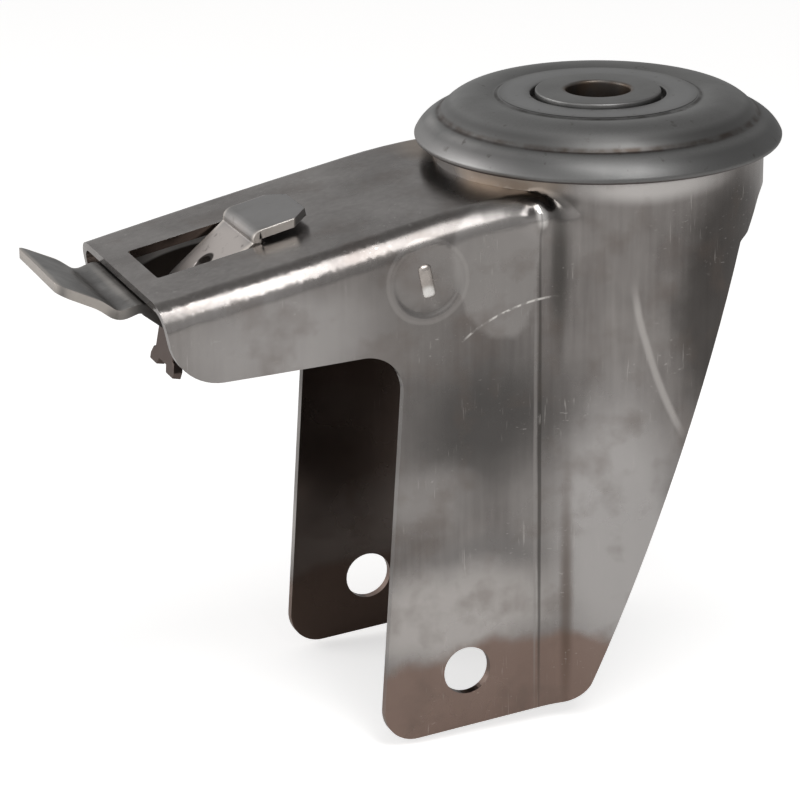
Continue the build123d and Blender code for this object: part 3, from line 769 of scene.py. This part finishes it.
def shaded(name: str, mesh: bpy.types.Mesh, crease_degrees: float) -> bpy.types.Object:
    """Shade a mesh smooth up to a crease and hang it in the scene as a piece.

    Args:
        name: the piece's name.
        mesh: its mesh.
        crease_degrees: edges that turn by more than this stay sharp.

    Returns:
        The piece.
    """
    mesh.shade_smooth()
    mesh.set_sharp_from_angle(angle=math.radians(crease_degrees))
    piece = bpy.data.objects.new(name, mesh)
    bpy.context.scene.collection.objects.link(piece)
    return piece


def merged_copy(node: str, name: str, crease_degrees: float) -> bpy.types.Object:
    """Copy a CAD node, join its loose triangles and shade it smooth up to a crease.

    Args:
        node: the CAD node.
        name: the new piece's name.
        crease_degrees: edges that turn by more than this stay sharp.

    Returns:
        The new piece.
    """
    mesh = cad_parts[node].data.copy()
    mesh.name = name
    bm = bmesh.new()
    bm.from_mesh(mesh)
    bmesh.ops.remove_doubles(bm, verts=bm.verts, dist=0.002 * MM)
    bmesh.ops.dissolve_degenerate(bm, edges=bm.edges, dist=0.001 * MM)
    bm.to_mesh(mesh)
    bm.free()
    return shaded(name, mesh, crease_degrees)


def worn_edges(piece: bpy.types.Object, width_mm: float, steps: int = 2) -> None:
    """Round the sharp edges of a piece a little.

    Args:
        piece: the piece.
        width_mm: width of the rounding.
        steps: runs on it.
    """
    bevel = piece.modifiers.new("worn_edges", "BEVEL")
    bevel.width = width_mm * MM
    bevel.segments = steps
    bevel.limit_method = "ANGLE"
    bevel.angle_limit = math.radians(WORN_FROM_DEGREES)
    bevel.use_clamp_overlap = True
    even = piece.modifiers.new("even_shading", "WEIGHTED_NORMAL")
    even.keep_sharp = True
    even.weight = FLAT_FACE_WEIGHT


def dress(piece: bpy.types.Object, finish: Finish, body: str, *nodes: str) -> None:
    """Give a piece its finish, its body and the CAD nodes that it stands for.

    Args:
        piece: the piece.
        finish: its finish.
        body: the body that it rides on.
        nodes: the CAD nodes that it replaces.
    """
    material = bpy.data.materials.get(finish.name) or finish.material()
    piece.data.materials.clear()
    piece.data.materials.append(material)
    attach(piece, body)
    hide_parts(*nodes)
    log.info("%s rides on %s", piece.name, body)


def turned(name: str, profile_mm: np.ndarray, steps: int, crease_degrees: float) -> bpy.types.Object:
    """Piece turned about the swivel axis from a closed profile.

    Point (i, j) lies at radius r_i and height z_i of the profile's point i, at angle j / steps of a
    turn: (r cos, r sin, z).

    Args:
        name: the piece's name.
        profile_mm: array of (n, 2) radii and heights, counter-clockwise.
        steps: runs around.
        crease_degrees: edges that turn by more than this stay sharp.

    Returns:
        The piece.
    """
    angle = np.linspace(0.0, 2 * math.pi, steps, endpoint=False)
    radius, height = profile_mm[:, :1], profile_mm[:, 1:]
    points = np.stack((radius * np.cos(angle), radius * np.sin(angle), height + 0.0 * angle), -1)
    faces = grid_faces(len(profile_mm), steps, True, True)[:, ::-1]
    return new_piece(name, points.reshape(-1, 3), faces.tolist(), crease_degrees)


@dataclass
class Head:
    """The turned and pressed parts on the swivel axis: cap, hollow rivet, races and lock ring.

    Every point is a radius and a height in millimetres.

    Attributes:
        sheet: thickness of the cap's sheet.
        seat_z: height of the recess's floor.
        rivet_r: radius of the cap's hole.
        wall_r: radius of the recess.
        recess_rounding: rounding at the recess's foot, at its mouth and at the land's end.
        land, groove, crest, valley, brow, edge, curl, rim: the cap's upper side from the recess
            outwards, down to the rim's lower edge.
        under_edge, under_brow, under_valley, under_crest: its under side from there back inwards.
        ball_r: radius of the race that the balls run in.
        ball_z: height of the race's centre.
        race_start: angle at which the race begins at each side, in radians.
        rivet_profile: the rivet's corners, each with its rounding.
        steps: runs around the cap; the rivet has half as many.
    """

    sheet: float = 1.5
    seat_z: float = -2.2
    rivet_r: float = 7.55
    wall_r: float = 11.5
    recess_rounding: Vec3 = (0.25, 0.35, 0.2)
    land: Span = (16.9, -0.6)
    groove: Span = (17.7, -0.95)
    crest: Span = (21.3, -0.5)
    valley: Span = (27.0, -3.8)
    brow: Span = (29.6, -5.2)
    edge: Span = (31.1, -7.2)
    curl: Span = (31.0, -7.8)
    rim: Span = (30.35, -8.2)
    under_edge: Span = (29.6, -7.65)
    under_brow: Span = (28.7, -6.4)
    under_valley: Span = (25.875, -5.0)
    under_crest: Span = (23.9, -2.55)
    ball_r: float = 2.43
    ball_z: float = -4.43
    race_start: float = 0.5
    rivet_profile: tuple[Vec3, ...] = (
        (5.5, 0.0, 0.55), (10.65, 0.0, 0.35), (10.65, -2.2, 0.1), (7.5, -2.2, 0.05),
        (7.5, -15.92, 0.05), (9.8, -15.92, 0.1), (9.8, -17.12, 0.2), (9.2, -17.72, 0.2),
        (5.5, -17.72, 0.3),
    )
    steps: int = 160

    def cap(self) -> bpy.types.Object:
        """Turn the cap: recess, land, fine groove, crest, valley, brow and turned-down rim.

        Returns:
            The cap.
        """
        outer = np.vstack((
            arc(self.groove, self.crest, self.valley, steps=40)[:-1],
            arc(self.valley, self.brow, self.edge, steps=26)[:-1],
            arc(self.edge, self.curl, self.rim, steps=8),
        ))
        inner = np.vstack((
            arc(self.under_edge, self.under_brow, self.under_valley, steps=12), self.under_crest,
        ))
        angle = np.linspace(self.race_start, math.pi - self.race_start, 9)
        race = np.column_stack((self.crest[0] + self.ball_r * np.cos(angle),
                                self.ball_z + self.ball_r * np.sin(angle)))
        t = self.sheet
        middle = np.array([
            (self.groove[0] - t / 4, self.groove[1] - t),
            (self.wall_r + t, self.land[1] - t),
            (self.wall_r + t, self.seat_z - t),
            (self.rivet_r, self.seat_z - t),
            (self.rivet_r, self.seat_z),
        ])
        corners = np.array([(self.wall_r, self.seat_z), (self.wall_r, self.land[1]), self.land])
        recess = rounded(corners, np.array(self.recess_rounding), steps=4)
        profile = np.vstack((outer, inner, race, middle, recess))
        return turned("cap", profile[::-1], self.steps, crease_degrees=50.0)

    def rivet(self) -> bpy.types.Object:
        """Turn the rivet: flange with a broken edge, bolt hole with a rounded mouth, spread foot.

        Returns:
            The rivet.
        """
        table = np.array(self.rivet_profile)
        outline = rounded(table[:, :2], table[:, 2])
        return turned("rivet", outline[::-1], self.steps // 2, crease_degrees=40.0)

    def build(self) -> None:
        """Make and dress the head's pieces, and the balls that turn with the fork."""
        dress(self.cap(), CAP_STEEL, "head", "top_race_cap")
        dress(self.rivet(), CAP_STEEL, "head", "king_tube")
        for node, name, crease, finish, body in (
            ("lower_race", "race", 30.0, INNER_STEEL, "head"),
            ("lock_ring", "ring", 30.0, INNER_STEEL, "head"),
            ("upper_balls", "balls_upper", 40.0, BALL_STEEL, "fork"),
            ("lower_balls", "balls_lower", 40.0, BALL_STEEL, "fork"),
        ):
            dress(merged_copy(node, name, crease), finish, body, node)


@dataclass
class Fork:
    """The pressed fork and the pivot bar staked through it. Lengths are in millimetres.

    Attributes:
        crease: edges of the sheet that turn by more degrees than this stay sharp.
        edge_wear: width of the rounding on the cut edges.
        step: distance between the planes that cut the eased places up.
        pull: how far a point at the middle of an eased place moves each round, as a share.
        pinches: the eased places, each with its middle, its reach along x, y and z and its rounds.
        bar_at: x and z of the bar's middle line.
        bar_size: width and height of the bar.
        bar_corner: rounding of the bar's corners.
        bar_slope: how many degrees the bar's section leans.
        head_y: where the peened heads begin.
        head_rise: how far they bulge out.
        head_turn: how many degrees of a quarter turn their curve takes.
        head_share: how much wider and taller than the bar they begin.
    """

    crease: float = 35.0
    edge_wear: float = 0.22
    step: float = 0.5
    pull: float = 0.6
    pinches: tuple[tuple[Vec3, Vec3, int], ...] = (
        ((-20.4, 23.0, -13.4), (6.4, 6.0, 6.0), 55),
        ((-14.0, 24.5, -12.2), (7.0, 6.0, 5.2), 70),
    )
    bar_at: Span = (-41.0, -22.2)
    bar_size: Span = (1.5, 5.2)
    bar_corner: float = 0.55
    bar_slope: float = 10.8
    head_y: float = 22.7
    head_rise: float = 0.55
    head_turn: float = 72.0
    head_share: Span = (1.5, 1.08)

    def shell(self) -> bpy.types.Object:
        """Fork's sheet, with its cut edges a little rounded and the pinched corners eased.

        Returns:
            The fork.
        """
        shell = merged_copy("fork_shell", "fork", self.crease)
        for centre, reach, rounds in self.pinches:
            self._ease(shell.data, centre, reach, rounds)
        shell.data.shade_smooth()
        shell.data.set_sharp_from_angle(angle=math.radians(self.crease))
        worn_edges(shell, self.edge_wear)
        return shell

    def _ease(self, mesh: bpy.types.Mesh, centre: Vec3, reach: Vec3, rounds: int) -> None:
        """Ease the sheet about a pinched place, on both sides of the part.

        Planes cut the faces there into small ones. Then every point moves towards the mean of its
        neighbours, by the pull times (1 - d^2)^2, where d is its distance from the place over the
        reach, and this is done round after round.

        Args:
            mesh: the fork's mesh.
            centre: the place, with its y counted outwards.
            reach: how far the easing reaches along x, y and z.
            rounds: how often the points move.
        """
        self._cut_up(mesh, centre, reach)
        count = len(mesh.vertices)
        points = np.empty(count * 3)
        mesh.vertices.foreach_get("co", points)
        points = points.reshape(-1, 3) / MM
        pairs = np.empty(len(mesh.edges) * 2, np.int64)
        mesh.edges.foreach_get("vertices", pairs)
        pairs = pairs.reshape(-1, 2)
        owner, other = np.concatenate((pairs, pairs[:, ::-1])).T
        degree = np.maximum(1, np.bincount(owner, minlength=count))[:, None]
        folded = np.column_stack((points[:, 0], np.abs(points[:, 1]), points[:, 2]))
        away = np.minimum(1.0, np.linalg.norm((folded - centre) / reach, axis=1))[:, None]
        share = self.pull * (1 - away ** 2) ** 2
        for _ in range(rounds):
            total = np.column_stack([np.bincount(owner, points[other, k], count) for k in range(3)])
            points += share * (total / degree - points)
        mesh.vertices.foreach_set("co", points.ravel() * MM)
        mesh.update()

    def _cut_up(self, mesh: bpy.types.Mesh, centre: Vec3, reach: Vec3) -> None:
        """Cut a mesh's faces near a place by planes across x and z.

        Args:
            mesh: the mesh.
            centre: the place, with its y counted outwards.
            reach: how far from it the faces are cut.
        """
        bm = bmesh.new()
        bm.from_mesh(mesh)
        near = [face for face in bm.faces if self._near(face, centre, reach)]
        parts = near + list({edge for face in near for edge in face.edges}) + list(
            {point for face in near for point in face.verts})
        for axis in (0, 2):
            normal = Vector(np.eye(3)[axis])
            for level in np.arange(centre[axis] - reach[axis], centre[axis] + reach[axis], self.step):
                parts = bmesh.ops.bisect_plane(bm, geom=parts, dist=0.01 * MM,
                                               plane_co=normal * level * MM, plane_no=normal)["geom"]
        bmesh.ops.triangulate(bm, faces=[face for face in bm.faces if len(face.verts) > 4])
        bm.to_mesh(mesh)
        bm.free()

    @staticmethod
    def _near(face: bmesh.types.BMFace, centre: Vec3, reach: Vec3) -> bool:
        """Whether a face's box reaches into the box about a place, y counted outwards."""
        places = [(point.co.x / MM, abs(point.co.y) / MM, point.co.z / MM) for point in face.verts]
        return all(max(values) > middle - room and min(values) < middle + room
                   for values, middle, room in zip(zip(*places), centre, reach))

    def bar(self) -> bpy.types.Object:
        """Flat bar across the arm, its ends peened over the slots' edges.

        Its rings run from one end to the other. Each is the bar's rounded section; at each end it is
        widened to the peened head and then shrinks as cos a while y runs out as sin a.

        Returns:
            The bar.
        """
        half_x, half_z = (size / 2 for size in self.bar_size)
        corners = np.array([(-half_x, -half_z), (half_x, -half_z), (half_x, half_z), (-half_x, half_z)])
        section = rounded(corners, np.full(4, self.bar_corner), steps=4)
        a = np.linspace(0.0, math.radians(self.head_turn), 7)
        wide, tall = self.head_share
        head = np.column_stack((wide * np.cos(a), tall - wide * (1 - np.cos(a)) * half_x / half_z))
        half = np.vstack(((1.0, 1.0), (1.0, 1.0), head))
        half_y = np.concatenate(((self.head_y - 1.0, self.head_y),
                                 self.head_y + self.head_rise * np.sin(a)))
        shares = np.concatenate((half[::-1], half))
        ys = np.concatenate((-half_y[::-1], half_y))
        turn = math.radians(self.bar_slope)
        flat = shares[:, None] * section[None]
        x = self.bar_at[0] + flat[..., 0] * math.cos(turn) - flat[..., 1] * math.sin(turn)
        z = self.bar_at[1] + flat[..., 0] * math.sin(turn) + flat[..., 1] * math.cos(turn)
        points = np.stack((x, ys[:, None] + 0.0 * x, z), -1).reshape(-1, 3)
        count = len(section)
        faces = grid_faces(len(ys), count, False, True).tolist()
        last = count * (len(ys) - 1)
        faces += [list(range(count))[::-1], list(range(last, last + count))]
        return new_piece("bar", points, faces, crease_degrees=50.0)

    def build(self) -> None:
        """Make and dress the fork's pieces."""
        dress(self.shell(), FORK_STEEL, "fork", "fork_shell")
        dress(self.bar(), BAR_STEEL, "fork", "pivot_bar")


@dataclass
class Brake:
    """The foot lever and the toothed leaf that it pushes.

    Attributes:
        crease: edges that turn by more degrees than this stay sharp.
        edge_wear: width of the rounding on the cut edges, in millimetres.
        edge_steps: runs on that rounding.
    """

    crease: float = 35.0
    edge_wear: float = 0.42
    edge_steps: int = 3

    def build(self) -> None:
        """Make and dress the brake's pieces. Each is named as the body that it rides on."""
        for node, name, finish in (("pedal_lever", "pedal", LEVER_STEEL),
                                   ("brake_leaf", "leaf", LEAF_STEEL)):
            piece = merged_copy(node, name, self.crease)
            worn_edges(piece, self.edge_wear, self.edge_steps)
            dress(piece, finish, name, node)


@dataclass(frozen=True)
class Lamp:
    """Soft oblong lamp that faces the part. Lengths are in metres.

    Attributes:
        name: the lamp's name.
        at: where it hangs.
        width: its width.
        length: its length, up and down.
        radiance: how bright its face is, where 1 is white.
        roll: turn about its own axis, in degrees.
    """

    name: str
    at: Vec3
    width: float
    length: float
    radiance: float
    roll: float = 0.0


@dataclass
class Studio:
    """Camera, lamps, room and the pale floor. Lengths are in metres, angles in degrees.

    Attributes:
        eye: where the camera stands.
        azimuth: its angle around the part.
        elevation: how far it looks down.
        roll: how far it is rolled.
        lens_mm: its focal length.
        sensor_mm: width of its picture.
        floor_z: height of the floor.
        floor_colour: its colour.
        floor_glow: what it adds where the camera sees it.
        aim: the place that the lamps face.
        lamps: the lamps.
        side_light: the room's light on its left and on its right.
        high_light: the room's light low down and overhead.
    """

    eye: Vec3 = (-0.235587, -0.491571, 0.140045)
    azimuth: float = -22.03
    elevation: float = 19.77
    roll: float = -0.64
    lens_mm: float = 149.15
    sensor_mm: float = 36.0
    floor_z: float = -0.1035
    floor_colour: Rgb = (0.86, 0.85, 0.84)
    floor_glow: float = 0.55
    aim: Vec3 = (-0.03, 0.0, -0.03)
    lamps: tuple[Lamp, ...] = (
        Lamp("bend_softbox", (-0.01, -0.262, 0.41), 0.15, 0.43, 5.4, roll=8.0),
        Lamp("left_softbox", (-0.5, 0.22, 0.16), 0.3, 0.3, 2.2),
    )
    side_light: Span = (1.0, 0.35)
    high_light: Span = (0.9, 0.45)

    def camera(self) -> None:
        """Place the camera at the photograph's viewpoint."""
        a, e, r = (math.radians(v) for v in (self.azimuth, self.elevation, self.roll))
        back = Vector((math.sin(a) * math.cos(e), -math.cos(a) * math.cos(e), math.sin(e)))
        right = Vector((math.cos(a), math.sin(a), 0.0))
        up = back.cross(right)
        right_rolled = right * math.cos(r) + up * math.sin(r)
        up_rolled = up * math.cos(r) - right * math.sin(r)
        turn = Matrix((right_rolled, up_rolled, back)).transposed()
        data = bpy.data.cameras.new("camera")
        data.lens = self.lens_mm
        data.sensor_width = self.sensor_mm
        data.sensor_fit = "HORIZONTAL"
        data.clip_start = 0.01
        camera = bpy.data.objects.new("camera", data)
        camera.matrix_world = Matrix.Translation(self.eye) @ turn.to_4x4()
        bpy.context.scene.collection.objects.link(camera)
        bpy.context.scene.camera = camera

    def lamp(self, lamp: Lamp) -> None:
        """Hang a lamp.

        Args:
            lamp: the lamp.
        """
        data = bpy.data.lights.new(lamp.name, "AREA")
        data.energy = lamp.radiance * math.pi * lamp.width * lamp.length
        data.shape = "RECTANGLE"
        data.size = lamp.width
        data.size_y = lamp.length
        hung = bpy.data.objects.new(lamp.name, data)
        hung.location = lamp.at
        way = Vector(self.aim) - Vector(lamp.at)
        roll = Matrix.Rotation(math.radians(lamp.roll), 3, "Z")
        hung.rotation_euler = (way.to_track_quat("-Z", "Y").to_matrix() @ roll).to_euler()
        bpy.context.scene.collection.objects.link(hung)

    def floor(self) -> None:
        """Lay a pale floor that the camera sees as white, with the part's shadow on it."""
        mesh = bpy.data.meshes.new("floor")
        mesh.from_pydata([(-3, -3, 0), (3, -3, 0), (3, 3, 0), (-3, 3, 0)], [], [(0, 1, 2, 3)])
        floor = bpy.data.objects.new("floor", mesh)
        floor.location.z = self.floor_z
        bpy.context.scene.collection.objects.link(floor)
        mat = bpy.data.materials.new("pale_floor")
        mat.use_nodes = True
        tree = mat.node_tree
        shader = tree.nodes["Principled BSDF"]
        shader.inputs["Base Color"].default_value = (*self.floor_colour, 1.0)
        shader.inputs["Roughness"].default_value = 0.9
        shader.inputs["Specular IOR Level"].default_value = 0.0
        glow = tree.nodes.new("ShaderNodeEmission")
        glow.inputs["Strength"].default_value = self.floor_glow
        add = tree.nodes.new("ShaderNodeAddShader")
        rays = tree.nodes.new("ShaderNodeLightPath")
        pick = tree.nodes.new("ShaderNodeMixShader")
        tree.links.new(shader.outputs["BSDF"], add.inputs[0])
        tree.links.new(glow.outputs["Emission"], add.inputs[1])
        tree.links.new(rays.outputs["Is Camera Ray"], pick.inputs[0])
        tree.links.new(shader.outputs["BSDF"], pick.inputs[1])
        tree.links.new(add.outputs["Shader"], pick.inputs[2])
        tree.links.new(pick.outputs["Shader"], tree.nodes["Material Output"].inputs["Surface"])
        mesh.materials.append(mat)

    def world(self) -> None:
        """Fill the room with pale light, white to the camera and brighter on the left."""
        world = bpy.data.worlds.new("room")
        bpy.context.scene.world = world
        world.use_nodes = True
        tree = world.node_tree
        parts = tree.nodes.new("ShaderNodeSeparateXYZ")
        tree.links.new(tree.nodes.new("ShaderNodeTexCoord").outputs["Generated"], parts.inputs[0])
        level = tree.nodes.new("ShaderNodeMath")
        level.operation = "MULTIPLY"
        for slot, (axis, span, light) in enumerate(((0, (-0.9, 0.8), self.side_light),
                                                    (2, (0.35, 0.9), self.high_light))):
            tree.links.new(map_range(tree, parts.outputs[axis], span, light, True), level.inputs[slot])
        rays = tree.nodes.new("ShaderNodeLightPath")
        mix = tree.nodes.new("ShaderNodeMix")
        mix.data_type = "RGBA"
        mix.inputs[7].default_value = (1.0, 1.0, 1.0, 1.0)
        tree.links.new(rays.outputs["Is Camera Ray"], mix.inputs[0])
        tree.links.new(level.outputs[0], mix.inputs[6])
        back = tree.nodes["Background"]
        tree.links.new(mix.outputs[2], back.inputs["Color"])
        back.inputs["Strength"].default_value = 1.0

    def build(self) -> None:
        """Set the camera, the floor, the room and the lamps."""
        self.camera()
        self.floor()
        self.world()
        for lamp in self.lamps:
            self.lamp(lamp)
        bpy.context.scene.view_settings.view_transform = "Standard"


def main() -> None:
    logging.basicConfig(level=logging.INFO, format="%(message)s")
    for part in (Fork(), Head(), Brake(), Studio()):
        part.build()


if __name__ == "__main__":
    main()
